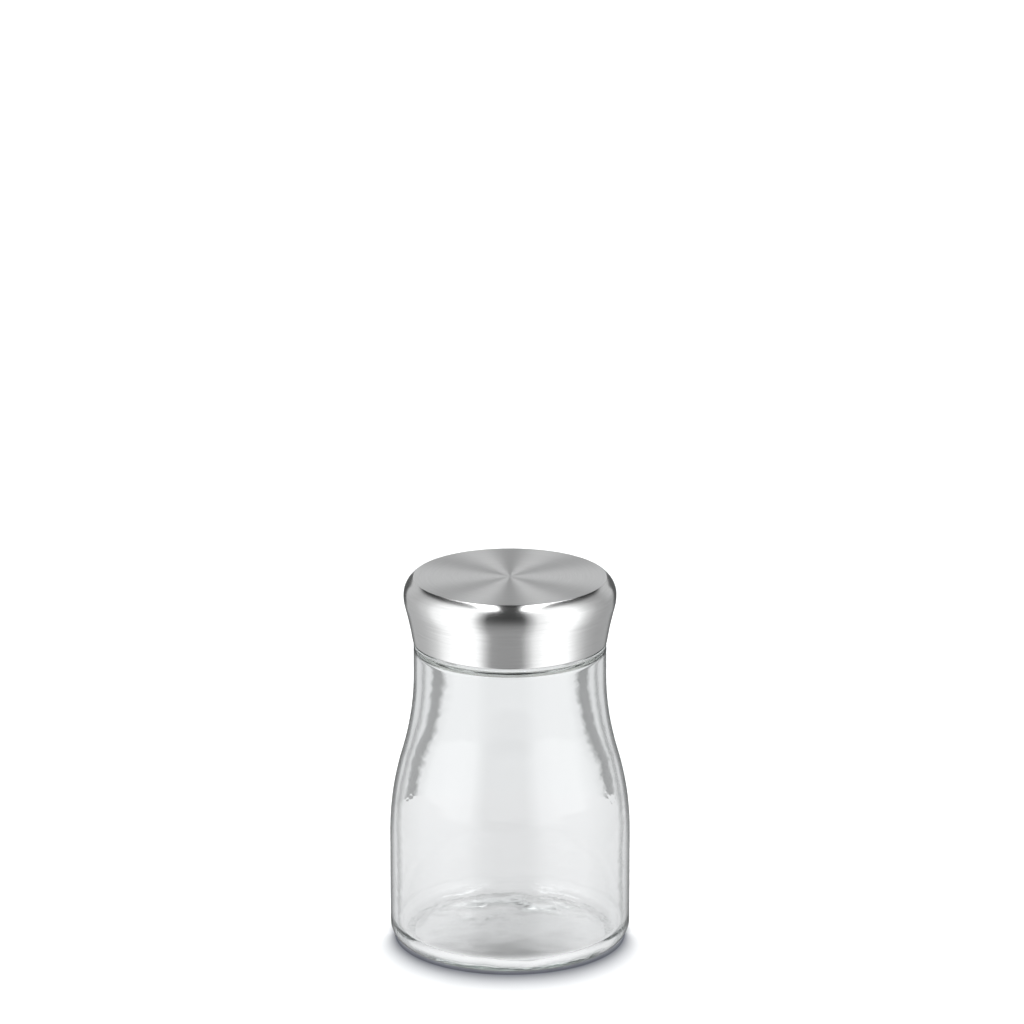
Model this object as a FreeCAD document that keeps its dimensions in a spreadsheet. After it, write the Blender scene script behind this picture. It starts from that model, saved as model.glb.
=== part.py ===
"""Sugar jar: a pressed glass jar with a screw-on lid of brushed steel, in millimetres.

The origin is the centre of the resting plane and +Z is up. The jar is one piece of glass. The lid is a
drawn steel shell with a moulded thread insert fixed inside it, and a sealing disc held under the insert.
"""

import FreeCAD, Part
import math
import os

import Sketcher

# Every driving dimension, under the name of its spreadsheet cell: millimetres, turns or plain counts.
SIZES = {
    # Glass, outside: a straight body, a waist of two equal arcs and a straight neck
    "body_radius": 39.0,
    "heel_radius": 5.5,
    "bearing_radius": 31.0,
    "push_up": 2.0,
    "waist_foot": 36.0,
    "waist_top": 90.0,
    "neck_radius": 31.1,
    "shoulder_height": 100.3,
    "shoulder_edge": 0.8,
    # Glass, inside: the wall thins from the neck down to the body
    "neck_wall": 2.7,
    "body_wall": 2.0,
    "floor_edge": 2.4,
    "floor_middle": 4.0,
    "floor_corner": 5.0,
    "throat_foot": 97.6,
    "throat_top": 100.0,
    "throat_curve": 1.6,
    # Glass finish, the collar that the lid screws on
    "finish_radius": 27.0,
    "finish_corner": 0.6,
    "bore_radius": 24.4,
    "rim_height": 113.0,
    "rim_edge": 0.8,
    # Threads: for each ridge its height where it starts, its crest radius, its half width at the tip and
    # at the base, and how many turns it runs
    "thread_starts": 3,
    "thread_lead": 12.0,
    "thread_root": 0.3,
    "neck_thread_height": 104.6,
    "neck_thread_crest": 28.2,
    "neck_thread_tip": 0.45,
    "neck_thread_base": 1.2,
    "neck_thread_turns": 0.42,
    "lid_thread_drop": 1.5,
    "lid_thread_crest": 27.4,
    "lid_thread_tip": 0.35,
    "lid_thread_base": 1.05,
    "lid_thread_turns": 0.28,
    # Steel shell, drawn from one sheet, with its rim turned in under the insert
    "steel_gauge": 0.5,
    "lid_base": 100.9,
    "lid_rim_radius": 31.3,
    "lid_rim_edge": 0.5,
    "flare_top": 112.7,
    "belly_radius": 34.26,
    "belly_height": 116.3,
    "belly_curve": 14.0,
    "crease_radius": 31.1,
    "crease_edge": 0.7,
    "lid_top": 122.2,
    "lip_radius": 29.8,
    # Moulded thread insert
    "insert_bore": 28.5,
    "insert_radius": 29.8,
    "insert_foot_radius": 30.4,
    "insert_foot": 3.0,
    "insert_deck": 1.4,
    "bead_radius": 0.55,
    "bead_height": 112.35,
    "hub_radius": 6.0,
    "rib_count": 12,
    "rib_width": 1.0,
    "rib_reach": 29.0,
    "ceiling_gap": 0.1,
    # Sealing disc
    "seal_radius": 28.2,
    "seal_thickness": 1.6,
    "seal_edge": 0.3,
}

LEFT, RIGHT = 1, -1  # which way an arc turns along its outline
ORIGIN, ACROSS, UP = (-1, 1), -1, -2  # the sketcher's numbers for its origin and its two axes
NORMAL = FreeCAD.Vector(0, 0, 1)
SAME_PLACE = 0.01  # how near an edge lies to the place that it is looked for at
FLARE_GUESS, ROUNDING_GUESS = 115.0, 7.0  # about the radii of the two lid arcs that the solver settles

doc = FreeCAD.newDocument("sugar_jar")
sheet = doc.addObject("Spreadsheet::Sheet", "Sizes")
for row, (alias, number) in enumerate(SIZES.items(), start=1):
    sheet.set(f"A{row}", alias)
    sheet.set(f"B{row}", str(number))
    sheet.setAlias(f"B{row}", alias)
doc.recompute()


def value(text):
    """The number that a sum such as "neck_radius - neck_wall" comes to."""
    total, sign = 0.0, 1.0
    for word in text.split():
        if word in ("+", "-"):
            sign = 1.0 if word == "+" else -1.0
        else:
            total += sign * float(sheet.get(word) if word in SIZES else word)
    return total


def cells(text):
    """The same sum as an expression of the sheet's cells."""
    return " ".join(f"Sizes.{word}" if word in SIZES else word for word in text.split())


class Outline:
    """A closed outline in a body's XZ plane, radius across and height up, tied to the sheet by sums."""

    def __init__(self, body, name, radius, height):
        plane = next(f for f in body.Origin.OriginFeatures if f.Role == "XZ_Plane")
        self.sketch = body.newObject("Sketcher::SketchObject", name)
        self.sketch.AttachmentSupport = [(plane, "")]
        self.sketch.MapMode = "FlatFace"
        self.at = (value(radius), value(height))
        self.edges = []  # for each edge: its numbers for its first and last point, and if it starts smoothly

    def size(self, kind, where, text):
        """Ties one size of the sketch to the sheet."""
        index = self.sketch.addConstraint(Sketcher.Constraint(kind, *where, value(text)))
        self.sketch.renameConstraint(index, f"size_{index}")
        self.sketch.setExpression(f"Constraints.size_{index}", cells(text))

    def pin(self, edge, point, radius=None, height=None):
        """Ties a point's radius and height, where they are given. "0" puts it on the axis itself."""
        for text, kind, axis in ((radius, "DistanceX", UP), (height, "DistanceY", ACROSS)):
            if text == "0":
                self.sketch.addConstraint(Sketcher.Constraint("PointOnObject", edge, point, axis))
            elif text:
                self.size(kind, (*ORIGIN, edge, point), text)

    def pin_end(self, edge, radius=None, height=None):
        self.pin(edge, self.edges[edge][1], radius, height)

    def pin_centre(self, edge, radius=None, height=None):
        self.pin(edge, 3, radius, height)

    def add(self, shape, first, last, end, smooth):
        """Adds an edge that runs from its own point number first to its point number last."""
        edge = self.sketch.addGeometry(shape, False)
        self.edges.append((first, last, smooth))
        self.at = end
        return edge

    def concentric(self, edge, other):
        """Gives an arc the centre of another."""
        self.sketch.addConstraint(Sketcher.Constraint("Coincident", edge, 3, other, 3))

    def line(self, radius, height, smooth=False, pinned=True):
        """A straight edge to a place, pinned unless it is left to the edges that meet there."""
        end = (value(radius), value(height))
        shape = Part.LineSegment(FreeCAD.Vector(*self.at, 0), FreeCAD.Vector(*end, 0))
        edge = self.add(shape, 1, 2, end, smooth)
        if pinned:
            self.pin_end(edge, radius, height)
        return edge

    def arc(self, end, turn, curve, smooth=False):
        """An arc of about the radius curve to about the place end, with nothing pinned."""
        end = tuple(value(part) if isinstance(part, str) else part for part in end)
        across, up = end[0] - self.at[0], end[1] - self.at[1]
        chord = math.hypot(across, up)
        reach = turn * math.sqrt(max(curve**2 - chord**2 / 4, 0.0)) / chord
        centre = ((self.at[0] + end[0]) / 2 - up * reach, (self.at[1] + end[1]) / 2 + across * reach)
        angles = [math.atan2(place[1] - centre[1], place[0] - centre[0]) for place in (self.at, end)]
        circle = Part.Circle(FreeCAD.Vector(*centre, 0), NORMAL, curve)
        if turn == LEFT:
            return self.add(Part.ArcOfCircle(circle, *angles), 1, 2, end, smooth)
        return self.add(Part.ArcOfCircle(circle, *reversed(angles)), 2, 1, end, smooth)

    def corner(self, radius, height, turn, curve):
        """An arc of a given radius to a pinned place."""
        edge = self.arc((value(radius), value(height)), turn, value(curve))
        self.pin_end(edge, radius, height)
        self.size("Radius", (edge,), curve)

    def dome(self, radius, height, turn):
        """An arc to a pinned place, with its centre on the axis."""
        end = (value(radius), value(height))
        span, rise = max(self.at[0], end[0]), abs(end[1] - self.at[1])
        edge = self.arc(end, turn, (span**2 + rise**2) / (2 * rise))
        self.pin_end(edge, radius, height)
        self.pin_centre(edge, "0")

    def s_curve(self, radius, height, turn):
        """Two equal arcs, smooth at both ends and between them, to a pinned place."""
        end = (value(radius), value(height))
        across, up = end[0] - self.at[0], end[1] - self.at[1]
        curve = (across**2 + up**2) / (4 * abs(across))
        first = self.arc((self.at[0] + across / 2, self.at[1] + up / 2), turn, curve, smooth=True)
        second = self.arc(end, -turn, curve, smooth=True)
        self.pin_end(second, radius, height)
        self.sketch.addConstraint(Sketcher.Constraint("Equal", first, second))

    def close(self):
        """Joins each edge to the next and the last to the first, and solves the sketch."""
        for edge, (first, _, smooth) in enumerate(self.edges):
            before = (edge - 1) % len(self.edges)
            kind = "Tangent" if smooth else "Coincident"
            ends = (before, self.edges[before][1], edge, first)
            self.sketch.addConstraint(Sketcher.Constraint(kind, *ends))
        doc.recompute()
        return self.sketch


def new_body(name):
    body = doc.addObject("PartDesign::Body", name)
    body.Label = name
    return body


def turned(body, name, sketch):
    """A full turn of an outline about the Z axis."""
    feature = body.newObject("PartDesign::Revolution", name)
    feature.Profile = (sketch, [""])
    feature.ReferenceAxis = (sketch, ["V_Axis"])
    feature.Angle = 360
    doc.recompute()
    return feature


def patterned(body, feature, sketch, count):
    """Copies of a feature, evenly spaced about the Z axis."""
    pattern = body.newObject("PartDesign::PolarPattern", f"{feature.Name}_pattern")
    pattern.Originals = [feature]
    pattern.Axis = (sketch, ["V_Axis"])
    pattern.Angle = 360
    pattern.setExpression("Occurrences", cells(count))
    body.Tip = pattern
    doc.recompute()


def softened(body, name, base, curve, *places):
    """Rounds the circular edges of a turned feature at the given places."""
    targets = [(value(radius), value(height)) for radius, height in places]
    names = []
    for index, edge in enumerate(base.Shape.Edges, start=1):
        box = edge.BoundBox
        found = (box.XLength / 2, box.ZMin)
        if box.ZLength < SAME_PLACE and any(math.dist(found, place) < SAME_PLACE for place in targets):
            names.append(f"Edge{index}")
    fillet = body.newObject("PartDesign::Fillet", name)
    fillet.Base = (base, names)
    fillet.setExpression("Radius", cells(curve))
    doc.recompute()
    return fillet


def ring(body, name, inner, outer, base, top):
    """A turned ring of rectangular section."""
    outline = Outline(body, f"{name}_section", inner, base)
    outline.line(outer, base)
    outline.line(outer, top)
    outline.line(inner, top)
    outline.line(inner, base)
    return turned(body, name, outline.close())


def thread(body, name, root, height):
    """Evenly spaced right-hand ridges, tapered towards their crest and buried at their root in the wall."""
    crest, tip, base = f"{name}_crest", f"{name}_tip", f"{name}_base"
    outline = Outline(body, f"{name}_section", root, f"{height} - {base}")
    outline.line(crest, f"{height} - {tip}")
    outline.line(crest, f"{height} + {tip}")
    outline.line(root, f"{height} + {base}")
    outline.line(root, f"{height} - {base}")
    sketch = outline.close()
    ridge = body.newObject("PartDesign::AdditiveHelix", name)
    ridge.Profile = (sketch, [""])
    ridge.ReferenceAxis = (sketch, ["V_Axis"])
    ridge.Mode = "pitch-turns-angle"
    ridge.setExpression("Pitch", cells("thread_lead"))
    ridge.setExpression("Turns", cells(f"{name}_turns"))
    doc.recompute()
    patterned(body, ridge, sketch, "thread_starts")


def glass_jar():
    """The jar: one turned section of glass with three ridges of thread on its finish."""
    body = new_body("glass_jar")
    outline = Outline(body, "jar_section", "0", "push_up")
    outline.dome("bearing_radius", "0", RIGHT)
    outline.line("body_radius - heel_radius", "0")
    outline.corner("body_radius", "heel_radius", LEFT, "heel_radius")
    outline.line("body_radius", "waist_foot")
    outline.s_curve("neck_radius", "waist_top", LEFT)
    outline.line("neck_radius", "shoulder_height", smooth=True)
    outline.line("finish_radius", "shoulder_height")
    outline.line("finish_radius", "rim_height")
    outline.line("bore_radius", "rim_height")
    outline.line("bore_radius", "throat_top")
    outline.line("neck_radius - neck_wall", "throat_foot")
    outline.line("neck_radius - neck_wall", "waist_top")
    outline.s_curve("body_radius - body_wall", "waist_foot", LEFT)
    outline.line("body_radius - body_wall", "floor_edge + floor_corner", smooth=True)
    outline.corner("body_radius - body_wall - floor_corner", "floor_edge", RIGHT, "floor_corner")
    outline.dome("0", "floor_middle", LEFT)
    outline.line("0", "push_up")
    glass = turned(body, "jar_glass", outline.close())
    rim = [("finish_radius", "rim_height"), ("bore_radius", "rim_height")]
    throat = [("bore_radius", "throat_top"), ("neck_radius - neck_wall", "throat_foot")]
    glass = softened(body, "shoulder_round", glass, "shoulder_edge", ("neck_radius", "shoulder_height"))
    glass = softened(body, "finish_foot", glass, "finish_corner", ("finish_radius", "shoulder_height"))
    glass = softened(body, "glass_rim", glass, "rim_edge", *rim)
    softened(body, "throat_round", glass, "throat_curve", *throat)
    thread(body, "neck_thread", "finish_radius - thread_root", "neck_thread_height")
    return body


def lid_shell():
    """The drawn steel shell: one thickness of sheet up the flare, round the belly and over the top, with a
    narrow lip turned in at the rim."""
    body = new_body("lid_shell")
    belly_curve = value("belly_curve")
    inside = "belly_radius - steel_gauge"
    outline = Outline(body, "shell_section", "lip_radius", "lid_base")
    outline.line("lid_rim_radius", "lid_base")
    flare = outline.arc(("belly_radius", "flare_top"), RIGHT, FLARE_GUESS)
    outline.pin_end(flare, height="flare_top")
    belly = outline.arc(("belly_radius", "belly_height"), LEFT, belly_curve, smooth=True)
    outline.pin_end(belly, "belly_radius", "belly_height")
    outline.pin_centre(belly, height="belly_height")
    outline.size("Radius", (belly,), "belly_curve")
    rounding = outline.arc(("crease_radius", "lid_top"), LEFT, ROUNDING_GUESS, smooth=True)
    outline.pin_end(rounding, "crease_radius", "lid_top")
    outline.line("0", "lid_top")
    outline.line("0", "lid_top - steel_gauge")

    ceiling = outline.line("crease_radius - steel_gauge", "lid_top - steel_gauge", pinned=False)
    outline.pin_end(ceiling, height="lid_top - steel_gauge")
    outline.concentric(outline.arc((inside, "belly_height"), RIGHT, ROUNDING_GUESS), rounding)
    inner_belly = outline.arc((inside, "flare_top"), RIGHT, belly_curve, smooth=True)
    outline.concentric(inner_belly, belly)
    outline.size("Radius", (inner_belly,), "belly_curve - steel_gauge")
    foot = ("lid_rim_radius - steel_gauge", "lid_base + steel_gauge")
    inner_flare = outline.arc(foot, LEFT, FLARE_GUESS, smooth=True)
    outline.concentric(inner_flare, flare)
    outline.pin_end(inner_flare, height="lid_base + steel_gauge")
    outline.line("lip_radius", "lid_base + steel_gauge")
    outline.line("lip_radius", "lid_base")
    sheet_metal = turned(body, "drawn_shell", outline.close())
    sheet_metal = softened(body, "crease_round", sheet_metal, "crease_edge", ("crease_radius", "lid_top"))
    softened(body, "rim_round", sheet_metal, "lid_rim_edge", ("lid_rim_radius", "lid_base"))
    return body


def lid_insert():
    """The moulded insert: a threaded wall under a flat deck, with ribs above it that hold up the steel."""
    body = new_body("lid_insert")
    foot = "lid_base + steel_gauge"
    deck = "rim_height + seal_thickness"
    ceiling = "lid_top - steel_gauge - ceiling_gap"
    outline = Outline(body, "wall_section", "insert_bore", foot)
    outline.line("insert_foot_radius", foot)
    outline.line("insert_foot_radius", f"{foot} + insert_foot")
    outline.line("insert_radius", f"{foot} + insert_foot")
    outline.line("insert_radius", f"{deck} + insert_deck")
    outline.line("0", f"{deck} + insert_deck")
    outline.line("0", deck)
    outline.line("insert_bore", deck)
    outline.line("insert_bore", foot)
    turned(body, "threaded_wall", outline.close())

    bead = Outline(body, "bead_section", "insert_bore", "bead_height - bead_radius")
    bead.line("insert_bore", "bead_height + bead_radius")
    bead.corner("insert_bore", "bead_height - bead_radius", LEFT, "bead_radius")
    turned(body, "retaining_bead", bead.close())

    ring(body, "hub", "hub_radius - rib_width", "hub_radius", deck, ceiling)
    rib = Outline(body, "rib_section", "hub_radius - rib_width", deck)
    rib.line("rib_reach", deck)
    rib.line("rib_reach", ceiling)
    rib.line("hub_radius - rib_width", ceiling)
    rib.line("hub_radius - rib_width", deck)
    sketch = rib.close()
    pad = body.newObject("PartDesign::Pad", "rib")
    pad.Profile = (sketch, [""])
    pad.Midplane = True
    pad.setExpression("Length", cells("rib_width"))
    doc.recompute()
    patterned(body, pad, sketch, "rib_count")

    thread(body, "lid_thread", "insert_bore + thread_root", "neck_thread_height - lid_thread_drop")
    return body


def sealing_disc():
    """The flat disc between the glass rim and the deck of the insert."""
    body = new_body("sealing_disc")
    top = "rim_height + seal_thickness"
    disc = ring(body, "disc", "0", "seal_radius", "rim_height", top)
    softened(body, "disc_edge", disc, "seal_edge", ("seal_radius", "rim_height"), ("seal_radius", top))
    return body


def main():
    pieces = [glass_jar(), lid_shell(), lid_insert(), sealing_disc()]
    doc.recompute()
    for thing in doc.Objects:
        if {"Invalid", "Error"} & set(thing.State):
            raise RuntimeError(f"{thing.Name} did not build: {thing.State}")
    for piece in pieces:
        if piece.Shape.isNull() or not piece.Shape.isValid() or len(piece.Shape.Solids) != 1:
            raise RuntimeError(f"{piece.Label} is not one valid solid")
    os.makedirs("parts", exist_ok=True)
    for piece in pieces:
        piece.Shape.exportStep(f"parts/{piece.Label}.step")
        print(f"{piece.Label}: {piece.Shape.Volume / 1000:.2f} cm3, {len(piece.Shape.Faces)} faces")


main()
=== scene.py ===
"""The looks of the sugar jar: clear pressed glass under a lid of circular-brushed steel.

The jar and the shell are turned about the frame's Z axis from a section in radius and height, in metres.
The insert and the disc inside the lid are the frame's own pieces with a finish put on them.
"""

import math

import bpy
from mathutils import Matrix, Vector, noise


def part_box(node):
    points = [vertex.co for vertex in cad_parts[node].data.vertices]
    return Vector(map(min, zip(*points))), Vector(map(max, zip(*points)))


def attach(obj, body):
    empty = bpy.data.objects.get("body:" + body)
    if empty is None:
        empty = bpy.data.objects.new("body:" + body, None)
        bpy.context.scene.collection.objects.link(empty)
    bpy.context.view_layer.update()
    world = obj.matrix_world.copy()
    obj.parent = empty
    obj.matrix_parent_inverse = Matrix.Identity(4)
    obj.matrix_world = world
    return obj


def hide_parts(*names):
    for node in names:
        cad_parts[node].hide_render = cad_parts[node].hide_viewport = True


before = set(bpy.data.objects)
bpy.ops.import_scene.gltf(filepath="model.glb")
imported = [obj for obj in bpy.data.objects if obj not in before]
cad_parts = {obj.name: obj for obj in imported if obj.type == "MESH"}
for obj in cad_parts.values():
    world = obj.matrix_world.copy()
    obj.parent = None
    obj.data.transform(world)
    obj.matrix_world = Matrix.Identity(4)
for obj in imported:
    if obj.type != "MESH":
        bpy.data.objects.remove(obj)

MM = 0.001
TURN = 2 * math.pi
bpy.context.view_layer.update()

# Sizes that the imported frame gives
JAR_TOP_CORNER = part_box("glass_jar")[1]
BODY_RADIUS, RIM_HEIGHT = JAR_TOP_CORNER.x, JAR_TOP_CORNER.z
SHELL_LOW_CORNER, SHELL_TOP_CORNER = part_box("lid_shell")
BELLY_RADIUS, LID_BASE, LID_TOP = SHELL_TOP_CORNER.x, SHELL_LOW_CORNER.z, SHELL_TOP_CORNER.z

# Glass, outside
HEEL = 5.5 * MM
BEARING_RADIUS = 31.0 * MM
PUSH_UP = 2.0 * MM
WAIST_FOOT = 36.0 * MM
WAIST_TOP = 90.0 * MM
NECK_RADIUS = 31.1 * MM
SHOULDER_HEIGHT = 100.3 * MM
SHOULDER_EDGE = 0.8 * MM
# Glass, inside
BODY_BORE = BODY_RADIUS - 2.0 * MM
NECK_BORE = NECK_RADIUS - 2.7 * MM
FLOOR_EDGE = 2.4 * MM
FLOOR_MIDDLE = 4.0 * MM
FLOOR_CORNER = 5.0 * MM
THROAT_FOOT = 97.6 * MM
THROAT_TOP = 100.0 * MM
THROAT_CURVE = 1.6 * MM
# Glass finish
FINISH_RADIUS = 27.0 * MM
FINISH_CORNER = 0.6 * MM
BORE_RADIUS = 24.4 * MM
RIM_EDGE = 0.8 * MM
# Threads: three ridges, each rising one lead a turn
THREAD_STARTS = 3
THREAD_LEAD = 12.0 * MM
THREAD_FOOT = 104.6 * MM
THREAD_DEPTH = 1.2 * MM
THREAD_TIP = 0.45 * MM
THREAD_BASE = 1.2 * MM
THREAD_TURNS = 0.42
THREAD_FADE = 0.03
# Unevenness of the pressed glass: how wide, how tall and how high its waves are
MOULD_WAVES = (30 * MM, 18 * MM, 0.04 * MM)
PLUNGER_SWELL = (20 * MM, 16 * MM, 0.05 * MM)
PLUNGER_RIPPLE = (9 * MM, 2.4 * MM, 0.018 * MM)
FLOOR_SWELL = (18 * MM, 18 * MM, 0.22 * MM)
FLOOR_RIPPLE = (6.5 * MM, 6.5 * MM, 0.22 * MM)
# How finely the turned pieces are cut, round the axis and along the section
JAR_SEGMENTS, JAR_OUTER_STEP, JAR_INNER_STEP = 216, 1.1 * MM, 0.7 * MM
LID_SEGMENTS, LID_OUTER_STEP, LID_INNER_STEP = 256, 1.6 * MM, 4 * MM
FLARE_STEPS, BELLY_STEPS, ROUNDING_STEPS = 16, 6, 12
# Steel shell
GAUGE = 0.5 * MM
RIM_RADIUS = 31.3 * MM
RIM_ROUND = 0.5 * MM
FLARE_TOP = 112.7 * MM
BELLY_HEIGHT = 116.3 * MM
BELLY_CURVE = 14.0 * MM
CREASE_RADIUS = 31.1 * MM
CREASE_ROUND = 0.7 * MM
LIP_RADIUS = 29.8 * MM


# Sections: lists of (radius, height) points, from straight runs and round corners

def fillet(before, corner, after, curve, steps=8):
    """The points of a round corner of radius curve between two straight runs."""
    back, on = (before - corner).normalized(), (after - corner).normalized()
    half = back.angle(on) / 2
    centre = corner + (back + on).normalized() * (curve / math.sin(half))
    first = corner + back * (curve / math.tan(half)) - centre
    last = corner + on * (curve / math.tan(half)) - centre
    start = math.atan2(first.y, first.x)
    sweep = math.remainder(math.atan2(last.y, last.x) - start, TURN)
    angles = [start + sweep * step / steps for step in range(steps + 1)]
    return [centre + Vector((math.cos(angle), math.sin(angle))) * curve for angle in angles]


def section(*corners):
    """A run of points through corners, each (radius, height) or (radius, height, round)."""
    places = [Vector(corner[:2]) for corner in corners]
    points = []
    for index, corner in enumerate(corners):
        if len(corner) == 3:
            points += fillet(places[index - 1], places[index], places[index + 1], corner[2])
        else:
            points.append(places[index])
    return points


def arc(start, end, curve, steps):
    """Points after start to end along an arc that turns left for a positive curve, right for a negative."""
    start, end = Vector(start), Vector(end)
    chord = end - start
    reach = math.sqrt(curve**2 - chord.length_squared / 4) * math.copysign(1, curve)
    centre = (start + end) / 2 + Vector((-chord.y, chord.x)).normalized() * reach
    first, last = start - centre, end - centre
    begin = math.atan2(first.y, first.x)
    sweep = math.remainder(math.atan2(last.y, last.x) - begin, TURN)
    angles = [begin + sweep * step / steps for step in range(1, steps + 1)]
    return [centre + Vector((math.cos(angle), math.sin(angle))) * abs(curve) for angle in angles]


def s_curve(start, end, steps=26):
    """Points after start to end along two equal arcs, upright at both ends."""
    start, end = Vector(start), Vector(end)
    across, up = end - start
    curve = (across**2 + up**2) / (4 * across)
    side = -1 if up > 0 else 1
    middle = (start + end) / 2
    return arc(start, middle, side * curve, steps) + arc(middle, end, -side * curve, steps)


def dome(start, end, steps=14):
    """Points after start to end along a shallow dome, with one of the two on the axis."""
    start, end = Vector(start), Vector(end)
    edge, middle = (start, end) if end.x == 0 else (end, start)
    radii = [start.x + (end.x - start.x) * step / steps for step in range(1, steps + 1)]
    return [Vector((radius, middle.y + (edge.y - middle.y) * (radius / edge.x) ** 2)) for radius in radii]


def divided(points, step):
    """The same line with its long runs cut into equal shorter ones."""
    out = [points[0]]
    for start, end in zip(points, points[1:]):
        pieces = max(1, math.ceil((end - start).length / step))
        out += [start.lerp(end, part / pieces) for part in range(1, pieces + 1)]
    return out


def turned(name, rows, segments, closed=False):
    """A full turn about the Z axis of rows of (point, skin). A skin moves a point at an angle, or is None."""
    vertices, rings = [], []
    for point, skin in rows:
        first = len(vertices)
        if point.x == 0:
            vertices.append((0, 0, skin(0, point.y, 0)[1] if skin else point.y))
            rings.append([first] * segments)
            continue
        for index in range(segments):
            angle = TURN * index / segments
            radius, height = skin(point.x, point.y, angle) if skin else point
            vertices.append((radius * math.cos(angle), radius * math.sin(angle), height))
        rings.append(range(first, first + segments))
    uppers = rings[1:] + rings[:1] if closed else rings[1:]
    faces = []
    for lower, upper in zip(rings, uppers):
        for index in range(segments):
            after = (index + 1) % segments
            corners = tuple(dict.fromkeys((lower[index], lower[after], upper[after], upper[index])))
            if len(corners) > 2:
                faces.append(corners)
    mesh = bpy.data.meshes.new(name)
    mesh.from_pydata(vertices, [], faces)
    mesh.polygons.foreach_set("use_smooth", [True] * len(mesh.polygons))
    piece = bpy.data.objects.new(name, mesh)
    bpy.context.collection.objects.link(piece)
    return piece


# Glass jar

def outside():
    """The jar's outer line from the middle of its base up to the rim's outer corner."""
    points = [Vector((0, PUSH_UP))] + dome((0, PUSH_UP), (BEARING_RADIUS, 0))
    points += section((BEARING_RADIUS, 0), (BODY_RADIUS, 0, HEEL), (BODY_RADIUS, WAIST_FOOT))[1:]
    points += s_curve((BODY_RADIUS, WAIST_FOOT), (NECK_RADIUS, WAIST_TOP))
    points += section(
        (NECK_RADIUS, WAIST_TOP),
        (NECK_RADIUS, SHOULDER_HEIGHT, SHOULDER_EDGE),
        (FINISH_RADIUS, SHOULDER_HEIGHT, FINISH_CORNER),
        (FINISH_RADIUS, RIM_HEIGHT, RIM_EDGE),
        (BORE_RADIUS, RIM_HEIGHT),
    )[1:-1]
    return points


def inside():
    """The jar's inner line from the rim's inner corner down to the middle of the floor."""
    points = section(
        (FINISH_RADIUS, RIM_HEIGHT),
        (BORE_RADIUS, RIM_HEIGHT, RIM_EDGE),
        (BORE_RADIUS, THROAT_TOP, THROAT_CURVE),
        (NECK_BORE, THROAT_FOOT, THROAT_CURVE),
        (NECK_BORE, WAIST_TOP),
    )[1:]
    points += s_curve((NECK_BORE, WAIST_TOP), (BODY_BORE, WAIST_FOOT))
    floor_radius = BODY_BORE - FLOOR_CORNER
    points += section(
        (BODY_BORE, WAIST_FOOT),
        (BODY_BORE, FLOOR_EDGE, FLOOR_CORNER),
        (floor_radius, FLOOR_EDGE),
    )[1:-1]
    points += dome((floor_radius, FLOOR_EDGE), (0, FLOOR_MIDDLE))
    return points


def thread_depth(height, angle):
    """How far the thread stands out of the finish at a height and an angle."""
    depth = 0.0
    for start in range(THREAD_STARTS):
        along = (angle / TURN - start / THREAD_STARTS) % 1.0
        if along > THREAD_TURNS:
            continue
        away = abs(height - THREAD_FOOT - THREAD_LEAD * along)
        flank = min(1.0, max(0.0, (THREAD_BASE - away) / (THREAD_BASE - THREAD_TIP)))
        fade = min(1.0, along / THREAD_FADE, (THREAD_TURNS - along) / THREAD_FADE)
        depth = max(depth, THREAD_DEPTH * flank * fade)
    return depth


def waviness(place, waves, shift=(0, 0, 0)):
    """A smooth unevenness at a place, from waves of a given width, tallness and height."""
    wide, tall, height = waves
    across, along, up = place + Vector(shift)
    return noise.noise(Vector((across / wide, along / wide, up / tall))) * height


def outer_skin(radius, height, angle):
    """The outside of the glass: the thread on its finish, and the last unevenness of a polished mould."""
    if height > SHOULDER_HEIGHT and radius < NECK_RADIUS - SHOULDER_EDGE:
        return radius + thread_depth(height, angle), height
    place = Vector((radius * math.cos(angle), radius * math.sin(angle), height))
    return radius - abs(waviness(place, MOULD_WAVES)), height


def inner_skin(radius, height, angle):
    """The inside of the glass, which the plunger leaves wavier than the mould leaves the outside."""
    place = Vector((radius * math.cos(angle), radius * math.sin(angle), height))
    if height < FLOOR_EDGE + FLOOR_CORNER / 2:
        return radius, height + waviness(place, FLOOR_SWELL) + waviness(place, FLOOR_RIPPLE, (0.9, 0.4, 0))
    return radius + waviness(place, PLUNGER_SWELL) + waviness(place, PLUNGER_RIPPLE, (0.3, 0.7, 0)), height


def glass_jar():
    """The jar's whole section turned, with one skin outside and another inside."""
    outer, inner = divided(outside(), JAR_OUTER_STEP), divided(inside(), JAR_INNER_STEP)
    rows = [(point, outer_skin) for point in outer] + [(point, inner_skin) for point in inner]
    return turned("jar_glass", rows, JAR_SEGMENTS)


# Steel shell

def spokes(centre, start, end, inset, steps):
    """Points from start to end about a centre, moved in towards the jar's axis by inset."""
    first, last = start - centre, end - centre
    begin = math.atan2(first.y, first.x)
    sweep = math.remainder(math.atan2(last.y, last.x) - begin, TURN)
    outward = 1 if centre.x < start.x else -1
    reach = first.length - outward * inset
    angles = [begin + sweep * step / steps for step in range(steps + 1)]
    return [centre + Vector((math.cos(angle), math.sin(angle))) * reach for angle in angles]


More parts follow.
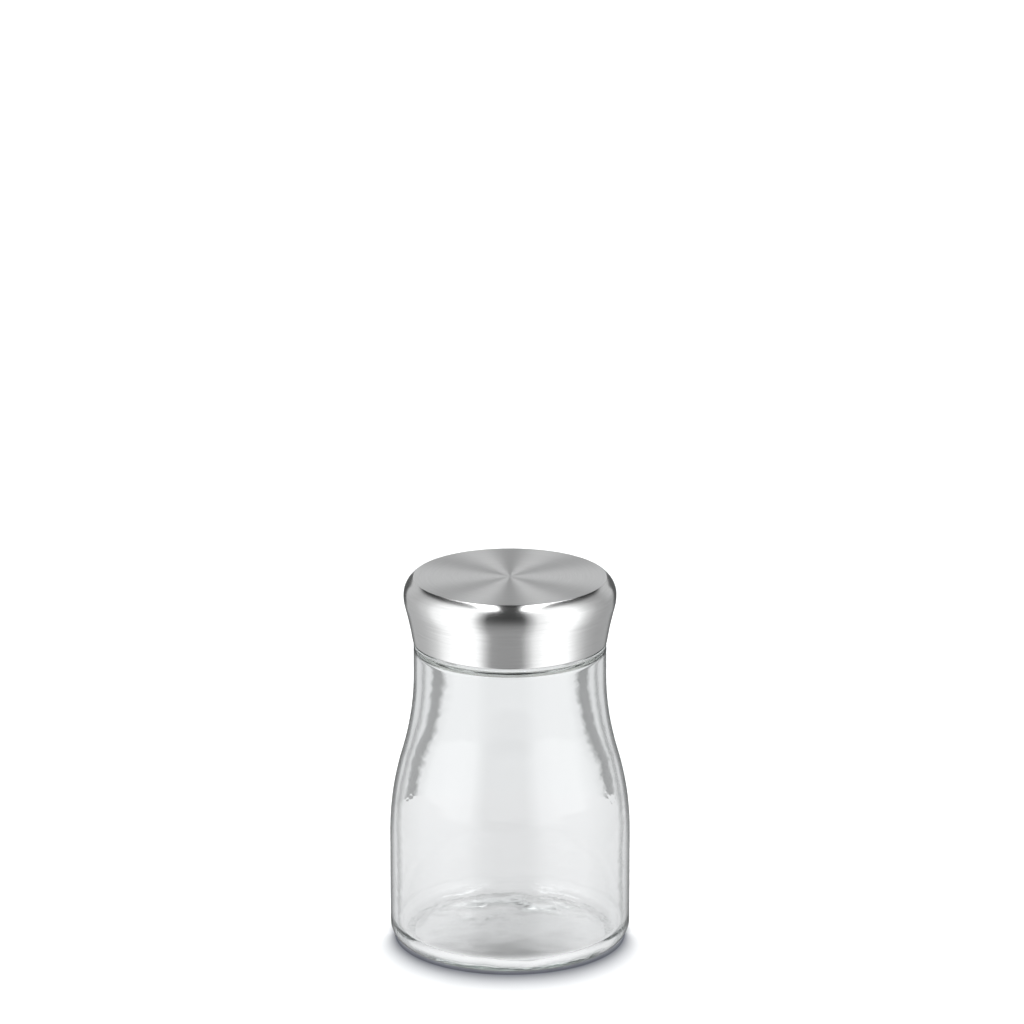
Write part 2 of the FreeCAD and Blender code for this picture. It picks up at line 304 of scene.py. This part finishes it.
def flare_and_belly(inset):
    """The shell's line from its rim up to its crease, set in from the outside by inset."""
    foot = Vector((RIM_RADIUS, LID_BASE))
    belly = Vector((BELLY_RADIUS, BELLY_HEIGHT))
    crease = Vector((CREASE_RADIUS, LID_TOP))
    belly_centre = belly - Vector((BELLY_CURVE, 0))
    angle = math.asin((FLARE_TOP - BELLY_HEIGHT) / BELLY_CURVE)
    spoke = Vector((math.cos(angle), math.sin(angle)))
    # The flare leaves the belly smoothly, so its centre is on the same spoke, and it ends at the foot
    flare_end = belly_centre + spoke * BELLY_CURVE
    across = foot - flare_end
    flare_centre = flare_end + spoke * across.length_squared / (2 * across.dot(spoke))
    # The rounding leaves the belly upright, so its centre is at the belly's height, and it ends at the crease
    step = crease - belly
    rounding_centre = belly + Vector((step.length_squared / (2 * step.x), 0))
    points = spokes(flare_centre, foot, flare_end, inset, FLARE_STEPS)
    points += spokes(belly_centre, flare_end, belly, inset, BELLY_STEPS)[1:]
    points += spokes(rounding_centre, belly, crease, inset, ROUNDING_STEPS)[1:]
    return points


def lid_shell():
    """The shell's closed section turned: its outside from the lip up, then its inside back down."""
    outer, inner = flare_and_belly(0), flare_and_belly(GAUGE)
    lip, pole = Vector((LIP_RADIUS, LID_BASE)), Vector((0, LID_TOP))
    line = [lip] + fillet(lip, outer[0], outer[1], RIM_ROUND) + outer[1:-1]
    line += fillet(outer[-2], outer[-1], pole, CREASE_ROUND) + [pole]
    floor, ceiling = LID_BASE + GAUGE, LID_TOP - GAUGE
    under = [Vector((0, ceiling))] + [point for point in reversed(inner) if floor < point.y < ceiling]
    under += [Vector((LIP_RADIUS, floor)), lip]
    points = divided(line, LID_OUTER_STEP) + divided(under, LID_INNER_STEP)[:-1]
    return turned("lid_steel", [(point, None) for point in points], LID_SEGMENTS, closed=True)


# Materials

class Graph:
    """A tree of shader nodes, with a short call for each kind of step that is used in it."""

    def __init__(self, tree):
        self.nodes, self.links = tree.nodes, tree.links

    def put(self, socket, value):
        """Sets a socket to a number, or links it to another node's output."""
        if isinstance(value, (int, float)):
            socket.default_value = value
        else:
            self.links.new(value, socket)

    def calc(self, operation, *values, clamp=False):
        node = self.nodes.new("ShaderNodeMath")
        node.operation = operation
        node.use_clamp = clamp
        for socket, value in zip(node.inputs, values):
            self.put(socket, value)
        return node.outputs[0]

    def coordinates(self, kind):
        """The x, y and z of a texture coordinate."""
        source = self.nodes.new("ShaderNodeTexCoord")
        parts = self.nodes.new("ShaderNodeSeparateXYZ")
        self.links.new(source.outputs[kind], parts.inputs[0])
        return parts.outputs

    def vector(self, x, y, z):
        joined = self.nodes.new("ShaderNodeCombineXYZ")
        for socket, value in zip(joined.inputs, (x, y, z)):
            self.put(socket, value)
        return joined.outputs[0]

    def square_sum(self, x, y):
        return self.calc("ADD", self.calc("MULTIPLY", x, x), self.calc("MULTIPLY", y, y))

    def radius(self, x, y):
        return self.calc("SQRT", self.square_sum(x, y))

    def falling(self, value):
        """1 where a value is 0, and less and less above that."""
        return self.calc("EXPONENT", self.calc("MULTIPLY", value, -1.0))

    def window(self, value, low, high, soft):
        """1 between low and high, falling to 0 over soft outside them."""
        rise = self.calc("MULTIPLY_ADD", value, 1 / soft, 1 - low / soft, clamp=True)
        fall = self.calc("MULTIPLY_ADD", value, -1 / soft, 1 + high / soft, clamp=True)
        return self.calc("MULTIPLY", rise, fall)

    def blend(self, factor, first, second):
        """first where factor is 0 and second where it is 1."""
        mix = self.nodes.new("ShaderNodeMix")
        for socket, value in zip(mix.inputs[:1] + mix.inputs[2:4], (factor, first, second)):
            self.put(socket, value)
        return mix.outputs[0]

    def ramp(self, value, *stops):
        """A colour that follows a value through stops of (value, colour)."""
        ramp = self.nodes.new("ShaderNodeValToRGB")
        elements = ramp.color_ramp.elements
        elements[0].position, elements[1].position = stops[0][0], stops[-1][0]
        for position, _ in stops[1:-1]:
            elements.new(position)
        for element, (_, colour) in zip(elements, stops):
            element.color = (*colour, 1)
        self.links.new(value, ramp.inputs[0])
        return ramp.outputs[0]

    def levels(self, value, low, high, stops):
        """A grey level that follows a value between low and high through stops of (value, level)."""
        span = high - low
        share = self.calc("MULTIPLY_ADD", value, 1 / span, -low / span)
        return self.ramp(share, *(((at - low) / span, (level, level, level)) for at, level in stops))

    def tinted(self, level, red, blue):
        """A level of light as a colour, with its red and blue scaled."""
        tint = self.nodes.new("ShaderNodeCombineColor")
        for socket, part in zip(tint.inputs, (red, 1.0, blue)):
            self.put(socket, self.calc("MULTIPLY", level, part))
        return tint.outputs[0]

    def grain(self, place, scale, detail):
        """Cloudy noise, with a number of clouds for each unit of the place's measure."""
        clouds = self.nodes.new("ShaderNodeTexNoise")
        clouds.inputs["Scale"].default_value = scale
        clouds.inputs["Detail"].default_value = detail
        self.links.new(place, clouds.inputs["Vector"])
        return clouds.outputs[0]

    def bump(self, height, strength, depth):
        """The normals of a surface with a fine relief."""
        relief = self.nodes.new("ShaderNodeBump")
        relief.inputs["Strength"].default_value = strength
        relief.inputs["Distance"].default_value = depth
        self.links.new(height, relief.inputs["Height"])
        return relief.outputs[0]


def new_material(name, **constants):
    """A material with constants on its shader's sockets, the graph of its nodes, and the shader's sockets."""
    material = bpy.data.materials.new(name)
    material.use_nodes = True
    sockets = material.node_tree.nodes["Principled BSDF"].inputs
    for socket, value in constants.items():
        sockets[socket.replace("_", " ")].default_value = value
    return material, Graph(material.node_tree), sockets


# Painted shade along the glass's outlines: its colour darkens where it is seen edge on. How edge on the glass
# is seen, from 0 to 1, where the painted shade starts and where it is darkest, and how much light the glass
# passes there
EDGE_FROM, EDGE_TO, EDGE_LEVEL = 0.69, 0.80, 0.25
# The tint of soda-lime glass in its depth, and how strong the tint is
GLASS_DEPTH, GLASS_DENSITY = (0.84, 0.92, 0.90), 10.0
# Ripples in the glass: how many a metre up the jar, and what share of that across it
RIPPLES, RIPPLE_STRETCH = 800, 0.3
# Mould seams: their width, and their height against the ripples
SEAM_WIDTH, SEAM_HEIGHT = 0.12 * MM, 0.8
# Stipple of the bearing ring: dots a metre, their height against the ripples, how rough they make the glass,
# and how far up the ring goes
STIPPLE, STIPPLE_HEIGHT, STIPPLE_ROUGH, BEARING_TOP = 900, 6.0, 0.25, 0.1 * MM
# The strength and the depth of this relief as a whole
GLASS_RELIEF = (0.45, 0.02 * MM)


def glass_material():
    """Clear fire-polished glass, with a fine ripple, two mould seams, a stippled bearing ring and painted
    shade along its outlines.
    """
    material, graph, sockets = new_material("clear_glass", Transmission_Weight=1.0, IOR=1.5)
    edge_on = graph.nodes.new("ShaderNodeLayerWeight").outputs["Facing"]
    edge_shade_stops = (EDGE_FROM, (1.0, 1.0, 1.0)), (EDGE_TO, (EDGE_LEVEL, EDGE_LEVEL, EDGE_LEVEL))
    # Painted shade: the glass's colour darkens where it is seen edge on
    graph.put(sockets["Base Color"], graph.ramp(edge_on, *edge_shade_stops))
    x, y, z = graph.coordinates("Object")
    radius = graph.radius(x, y)
    # The jar stands on the outer part of its underside
    low, wide = graph.calc("LESS_THAN", z, BEARING_TOP), graph.calc("GREATER_THAN", radius, BEARING_RADIUS)
    bearing = graph.calc("MULTIPLY", low, wide)
    stipple = graph.nodes.new("ShaderNodeTexVoronoi")
    stipple.inputs["Scale"].default_value = STIPPLE
    graph.put(stipple.inputs["Vector"], graph.vector(x, y, z))
    stippled = graph.calc("MULTIPLY", stipple.outputs[0], bearing)
    # The mould's two halves meet on the X axis, everywhere but on the finish
    seam = graph.falling(graph.calc("DIVIDE", graph.calc("ABSOLUTE", y), SEAM_WIDTH))
    seam = graph.calc("MULTIPLY", seam, graph.calc("GREATER_THAN", radius, NECK_RADIUS - MM))
    across, along = (graph.calc("MULTIPLY", size, RIPPLE_STRETCH) for size in (x, y))
    ripples = graph.grain(graph.vector(across, along, z), RIPPLES, 2.0)
    relief = graph.calc("MULTIPLY_ADD", seam, SEAM_HEIGHT, ripples)
    relief = graph.calc("MULTIPLY_ADD", stippled, STIPPLE_HEIGHT, relief)
    graph.put(sockets["Normal"], graph.bump(relief, *GLASS_RELIEF))
    graph.put(sockets["Roughness"], graph.calc("MULTIPLY", bearing, STIPPLE_ROUGH))
    depth = graph.nodes.new("ShaderNodeVolumeAbsorption")
    depth.inputs["Color"].default_value = (*GLASS_DEPTH, 1)
    depth.inputs["Density"].default_value = GLASS_DENSITY
    graph.put(graph.nodes["Material Output"].inputs["Volume"], depth.outputs[0])
    return material


# Brushed steel: brush lines a metre and how quickly they change round the lid, fine lines and coarse ones,
# with each one's share of the tone and the relief
FINE_BRUSH, COARSE_BRUSH = (5200, 3.0), (1300, 1.2)
FINE_SHARE, COARSE_SHARE = 0.6, 0.4
STEEL_DARK, STEEL_LIGHT = (0.58, 0.575, 0.57), (0.68, 0.675, 0.67)
STEEL_RELIEF = (0.07, 0.02 * MM)
# How rough the steel is, how much rougher its coarse lines and its flat top are, and where the top begins, by
# how far the surface looks upward
STEEL_ROUGH, LINE_ROUGHER, TOP_ROUGHER, TOP_FROM = 0.17, 0.06, 0.10, 0.92


def steel_material():
    """Stainless steel brushed round and round: the lines, and a sheen drawn out across them."""
    drawn_out = {"Anisotropic": 0.88, "Anisotropic_Rotation": 0.25}
    material, graph, sockets = new_material("brushed_steel", Metallic=1.0, **drawn_out)
    tangent = graph.nodes.new("ShaderNodeTangent")
    tangent.direction_type = "RADIAL"
    tangent.axis = "Z"
    graph.put(sockets["Tangent"], tangent.outputs[0])
    x, y, z = graph.coordinates("Object")
    radius, around = graph.radius(x, y), graph.calc("ARCTAN2", y, x)

    def brushed(per_metre, along):
        across, up = (graph.calc("MULTIPLY", size, per_metre) for size in (radius, z))
        return graph.grain(graph.vector(across, up, graph.calc("MULTIPLY", around, along)), 1.0, 3.0)

    fine, coarse = brushed(*FINE_BRUSH), brushed(*COARSE_BRUSH)
    tone = graph.calc("MULTIPLY_ADD", fine, FINE_SHARE, graph.calc("MULTIPLY", coarse, COARSE_SHARE))
    graph.put(sockets["Base Color"], graph.ramp(tone, (0.25, STEEL_DARK), (0.75, STEEL_LIGHT)))
    upward = graph.coordinates("Normal")[2]
    top = graph.calc("DIVIDE", graph.calc("SUBTRACT", upward, TOP_FROM), 1 - TOP_FROM, clamp=True)
    rough = graph.calc("MULTIPLY_ADD", top, TOP_ROUGHER, STEEL_ROUGH)
    graph.put(sockets["Roughness"], graph.calc("MULTIPLY_ADD", coarse, LINE_ROUGHER, rough))
    graph.put(sockets["Normal"], graph.bump(tone, *STEEL_RELIEF))
    return material


# Moulded pieces: clouds of tone and pits of grain a metre, how much rougher each makes the surface, and how
# deep the pits are
CLOUDS, PITS = 90, 2600
CLOUD_ROUGHER, PIT_ROUGHER, PIT_DEPTH = 0.08, 0.12, 0.03 * MM
# The dark and light tones of each moulded material, its roughness, and how strong its grain is
NATURAL_PLASTIC = ((0.74, 0.75, 0.71), (0.80, 0.81, 0.77), 0.30, 0.15)
SEAL_SILICONE = ((0.84, 0.86, 0.85), (0.90, 0.91, 0.90), 0.45, 0.30)


def moulded_material(name, dark, light, roughness, grain):
    """A moulded plastic: a cloudy tone, a roughness that wanders with it, and a spark-eroded grain."""
    material, graph, sockets = new_material(name)
    place = graph.vector(*graph.coordinates("Object"))
    cloud, pits = graph.grain(place, CLOUDS, 2.0), graph.grain(place, PITS, 3.0)
    graph.put(sockets["Base Color"], graph.ramp(cloud, (0.3, dark), (0.7, light)))
    rough = graph.calc("MULTIPLY_ADD", pits, PIT_ROUGHER, roughness)
    graph.put(sockets["Roughness"], graph.calc("MULTIPLY_ADD", cloud, CLOUD_ROUGHER, rough))
    graph.put(sockets["Normal"], graph.bump(pits, grain, PIT_DEPTH))
    return material


# Paper and table. The camera sees the paper that the jar stands on. The glass shows the table instead, which
# gives off its own light, so that the light in the glass does not depend on what lights the paper.
# The paper's colour, the glow that keeps it white, and the colour of the jar's painted shadow
PAPER_COLOUR, PAPER_GLOW, SHADOW_COLOUR = (0.92, 0.92, 0.92), 0.26, (0.02, 0.025, 0.05)
# The jar's contact shadow, painted into the paper's colour: its line, how dark it is there and under the jar,
# and how far it spreads from the line, all round and further at the camera's side
SHADOW_RADIUS, SHADOW_DEPTH, SHADOW_UNDER = 37.5 * MM, 0.80, 0.12
SHADOW_SPREAD, SHADOW_AHEAD, SHADOW_FALL = 1.6 * MM, 10.0 * MM, 1.3
# How bright the table is by millimetres from the jar's axis: darker towards the axis, painted shade of the
# jar
TABLE_TONES = ((0, 0.56), (18, 0.58), (28, 0.70), (42, 0.77), (60, 0.79), (145, 0.85))
TABLE_HALF = 145 * MM
# Painted shade under the front of the jar: its place, its half sizes and how dark it is
SHADE_PATCH_PLACE, SHADE_PATCH_WIDE, SHADE_PATCH_LONG, SHADE_PATCH_DARK = 22 * MM, 20 * MM, 9 * MM, 0.38
# A painted ring of light under the heel, at the camera's side
LIGHT_RING_RADIUS, LIGHT_RING_WIDTH, LIGHT_RING_GLOW = 35.5 * MM, 4.0 * MM, 0.24
# The red and the blue of the table's light against its green
TABLE_TINT = (0.99, 1.01)
MATT = {"Roughness": 1.0, "Specular_IOR_Level": 0.0}
# Half the paper's width, and how far under the jar both sheets lie
PAPER_HALF, SHEET_DROP = 6.0, 0.05 * MM


def toward_camera(graph, y, radius):
    """1 straight in front of the jar's axis, falling to 0 at its sides, and 0 behind it."""
    return graph.calc("DIVIDE", graph.calc("MULTIPLY", y, -1.0), radius, clamp=True)


def paper_material():
    """White paper with a painted contact shadow of the jar, which reaches further out at the camera's side.
    """
    material, graph, sockets = new_material("white_paper", Emission_Strength=PAPER_GLOW, **MATT)
    x, y, _ = graph.coordinates("Object")
    radius = graph.radius(x, y)
    # Painted shadow of the jar, mixed into the paper's colour and glow
    spread = graph.calc("MULTIPLY_ADD", toward_camera(graph, y, radius), SHADOW_AHEAD, SHADOW_SPREAD)
    off_line = graph.calc("ABSOLUTE", graph.calc("SUBTRACT", radius, SHADOW_RADIUS))
    shadow = graph.falling(graph.calc("POWER", graph.calc("DIVIDE", off_line, spread), SHADOW_FALL))
    under = graph.calc("MULTIPLY", graph.calc("LESS_THAN", radius, SHADOW_RADIUS), SHADOW_UNDER)
    shadow = graph.calc("ADD", graph.calc("MULTIPLY", shadow, SHADOW_DEPTH), under, clamp=True)
    colour = graph.nodes.new("ShaderNodeMix")
    colour.data_type = "RGBA"
    factor, paper, dark = colour.inputs[0], colour.inputs[6], colour.inputs[7]
    graph.put(factor, shadow)
    paper.default_value, dark.default_value = (*PAPER_COLOUR, 1), (*SHADOW_COLOUR, 1)
    for socket in ("Base Color", "Emission Color"):
        graph.put(sockets[socket], colour.outputs[2])
    return material


def table_material():
    """The table as the glass shows it, with painted shade under the jar and a painted bright ring by its
    heel.
    """
    glowing = {"Base_Color": (0, 0, 0, 1), "Emission_Strength": 1.0}
    material, graph, sockets = new_material("table_paper", **glowing, **MATT)
    x, y, _ = graph.coordinates("Object")
    radius = graph.radius(x, y)
    # Painted shade: the table darkens towards the jar's axis
    tone = graph.levels(graph.calc("DIVIDE", radius, MM), 0, TABLE_HALF / MM, TABLE_TONES)
    # Painted shade: a darker patch under the front of the jar
    ahead = graph.calc("DIVIDE", graph.calc("ADD", y, SHADE_PATCH_PLACE), SHADE_PATCH_LONG)
    aside = graph.calc("DIVIDE", x, SHADE_PATCH_WIDE)
    patch = graph.calc("MULTIPLY", graph.falling(graph.square_sum(ahead, aside)), SHADE_PATCH_DARK)
    tone = graph.calc("MULTIPLY", tone, graph.calc("SUBTRACT", 1.0, patch))
    # Painted light: a bright ring under the heel, at the camera's side
    ring = graph.calc("DIVIDE", graph.calc("SUBTRACT", radius, LIGHT_RING_RADIUS), LIGHT_RING_WIDTH)
    ring = graph.falling(graph.calc("MULTIPLY", ring, ring))
    ring = graph.calc("MULTIPLY", ring, toward_camera(graph, y, radius))
    tone = graph.calc("MULTIPLY_ADD", ring, LIGHT_RING_GLOW, tone)
    graph.put(sockets["Emission Color"], graph.tinted(tone, *TABLE_TINT))
    return material


# Studio: light that depends on its direction alone. A direction has a height, from -1 straight down to 1
# straight up, and an angle in degrees.

# How bright the studio is by the angle from the camera's side, rightwards: a softbox at each side
AROUND = (
    (-180, 0.60), (-140, 0.60), (-120, 0.70), (-101, 1.00), (-90, 1.5), (-67, 1.86), (-54, 1.85),
    (-42, 1.65), (-33, 1.3), (0, 1.2), (26, 1.20), (36, 1.5), (48, 1.8), (76, 1.8), (92, 1.02),
    (106, 0.64), (124, 0.52), (150, 0.50), (180, 0.60),
)
# The dim opening that the camera looks in by: its angles, rightwards, how softly they end, and how bright
# it is by height
OPENING_ANGLES = (-25, 15, 15)
OPENING = (
    (-0.86, 0.30), (-0.74, 0.52), (-0.50, 0.45), (-0.28, 0.29), (0.0, 0.15), (0.30, 0.06), (0.85, 0.08),
)
NO_END = 9.0
# The dark ceiling: its level and its limits in height. Its edge slants: the height, plus these shares of the
# direction's parts back and aside, has limits of its own.
CEILING_LEVEL, CEILING_HEIGHTS = 0.03, (0.30, NO_END, 0.10)
SLANT_BACK, SLANT_ASIDE, CEILING_EDGE = 0.45, -0.15, (0.70, NO_END, 0.06)
# Areas behind the jar: a pale wall, its dark foot, and a dark post at each side. Each is a level, then its
# limits in degrees from straight behind, then its limits in height. Limits are (low, high, how softly).
PALE_WALL = (0.75, (-NO_END, 40, 20), (0.0, 0.42, 0.10))
DARK_FOOT = (0.20, (-NO_END, 20, 6), (-0.55, -0.16, 0.05))
DARK_POSTS = (0.12, (12, 30, 3), (-0.30, 0.15, 0.04))
# Two bright strips overhead: their brightness, and their limits aside, back and in height
STRIP_GLOW = 4.6
STRIP_ASIDE, STRIP_AWAY, STRIP_HEIGHTS = (0.17, 0.34, 0.05), (-0.40, 0.55, 0.08), (0.76, NO_END, 0.04)
# The backdrop that shows through the glass below the horizon, by the angle from straight behind
BACKDROP = (
    (0.0, 0.85), (5.5, 0.85), (6.5, 0.20), (10.0, 0.20), (12.0, 0.78), (30.0, 0.74), (40.0, 0.62),
    (60.0, 0.62), (80.0, 0.76), (180.0, 0.80),
)
BACKDROP_HEIGHTS = (-NO_END, -0.05, 0.05)
# The red and the blue of the light against its green
STUDIO_TINT = (0.985, 1.01)


def studio_light():
    """A softbox at each side, two strips overhead, a dim opening for the camera and a backdrop."""
    world = bpy.data.worlds.new("studio")
    world.use_nodes = True
    bpy.context.scene.world = world
    graph = Graph(world.node_tree)
    x, y, z = graph.coordinates("Generated")
    rightwards = graph.calc("ARCTAN2", x, graph.calc("MULTIPLY", y, -1.0))
    rightwards = graph.calc("MULTIPLY", rightwards, 360 / TURN)
    from_behind = graph.calc("MULTIPLY", graph.calc("ABSOLUTE", graph.calc("ARCTAN2", x, y)), 360 / TURN)
    aside = graph.calc("ABSOLUTE", x)
    level = graph.levels(rightwards, -180, 180, AROUND)

    edge = graph.calc("MULTIPLY_ADD", y, SLANT_BACK, graph.calc("MULTIPLY_ADD", aside, SLANT_ASIDE, z))
    ceiling = graph.calc("MULTIPLY", graph.window(edge, *CEILING_EDGE), graph.window(z, *CEILING_HEIGHTS))
    level = graph.blend(ceiling, level, CEILING_LEVEL)
    for tone, angles, heights in (PALE_WALL, DARK_FOOT, DARK_POSTS):
        area = graph.calc("MULTIPLY", graph.window(from_behind, *angles), graph.window(z, *heights))
        level = graph.blend(area, level, tone)
    opening = graph.levels(z, -1, 1, OPENING)
    level = graph.blend(graph.window(rightwards, *OPENING_ANGLES), level, opening)

    through_glass = graph.nodes.new("ShaderNodeLightPath").outputs["Is Transmission Ray"]
    backdrop = graph.calc("MULTIPLY", graph.window(z, *BACKDROP_HEIGHTS), through_glass)
    level = graph.blend(backdrop, level, graph.levels(from_behind, 0, 360, BACKDROP))

    strips = graph.calc("MULTIPLY", graph.window(aside, *STRIP_ASIDE), graph.window(y, *STRIP_AWAY))
    strips = graph.calc("MULTIPLY", strips, graph.window(z, *STRIP_HEIGHTS))
    level = graph.calc("MULTIPLY_ADD", strips, STRIP_GLOW, level)
    graph.put(graph.nodes["Background"].inputs["Color"], graph.tinted(level, *STUDIO_TINT))


def plane(name, half, material):
    """A level square sheet just under the jar, as a part of the stage."""
    mesh = bpy.data.meshes.new(name)
    corners = [(-half, -half, 0), (half, -half, 0), (half, half, 0), (-half, half, 0)]
    mesh.from_pydata(corners, [], [(0, 1, 2, 3)])
    mesh.materials.append(material)
    sheet = bpy.data.objects.new(name, mesh)
    sheet.location.z = -SHEET_DROP
    bpy.context.collection.objects.link(sheet)
    return sheet


# The camera: its lens and sensor in millimetres, its place, and its tilt up from straight down in degrees
LENS, SENSOR = 193.36, 36
CAMERA_PLACE, CAMERA_TILT = (0.65 * MM, -1687.4 * MM, 643.9 * MM), 73.49


def camera():
    """The photograph's camera: a long lens, above the jar and looking down at it."""
    data = bpy.data.cameras.new("camera")
    data.sensor_width = SENSOR
    data.lens = LENS
    data.clip_end = 20
    view = bpy.data.objects.new("camera", data)
    view.location = CAMERA_PLACE
    view.rotation_euler = (math.radians(CAMERA_TILT), 0, 0)
    bpy.context.collection.objects.link(view)
    bpy.context.scene.camera = view


# The scene

jar = glass_jar()
jar.data.materials.append(glass_material())
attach(jar, "jar")
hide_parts("glass_jar")

shell = lid_shell()
shell.data.materials.append(steel_material())
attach(shell, "lid")
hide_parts("lid_shell")

for node, material in (
    ("lid_insert", moulded_material("natural_plastic", *NATURAL_PLASTIC)),
    ("sealing_disc", moulded_material("seal_silicone", *SEAL_SILICONE)),
):
    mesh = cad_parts[node].data
    mesh.materials.clear()
    mesh.materials.append(material)

floor = plane("floor", PAPER_HALF, paper_material())
floor.visible_glossy = False
floor.visible_transmission = False
table = plane("table", TABLE_HALF, table_material())
table.visible_camera = False
table.visible_glossy = False
table.visible_diffuse = False
table.visible_shadow = False
studio_light()
camera()
bpy.context.scene.view_settings.view_transform = "Standard"
cycles = bpy.context.scene.cycles
cycles.max_bounces = 40
cycles.blur_glossy = 0
cycles.glossy_bounces = 32
cycles.transmission_bounces = 32
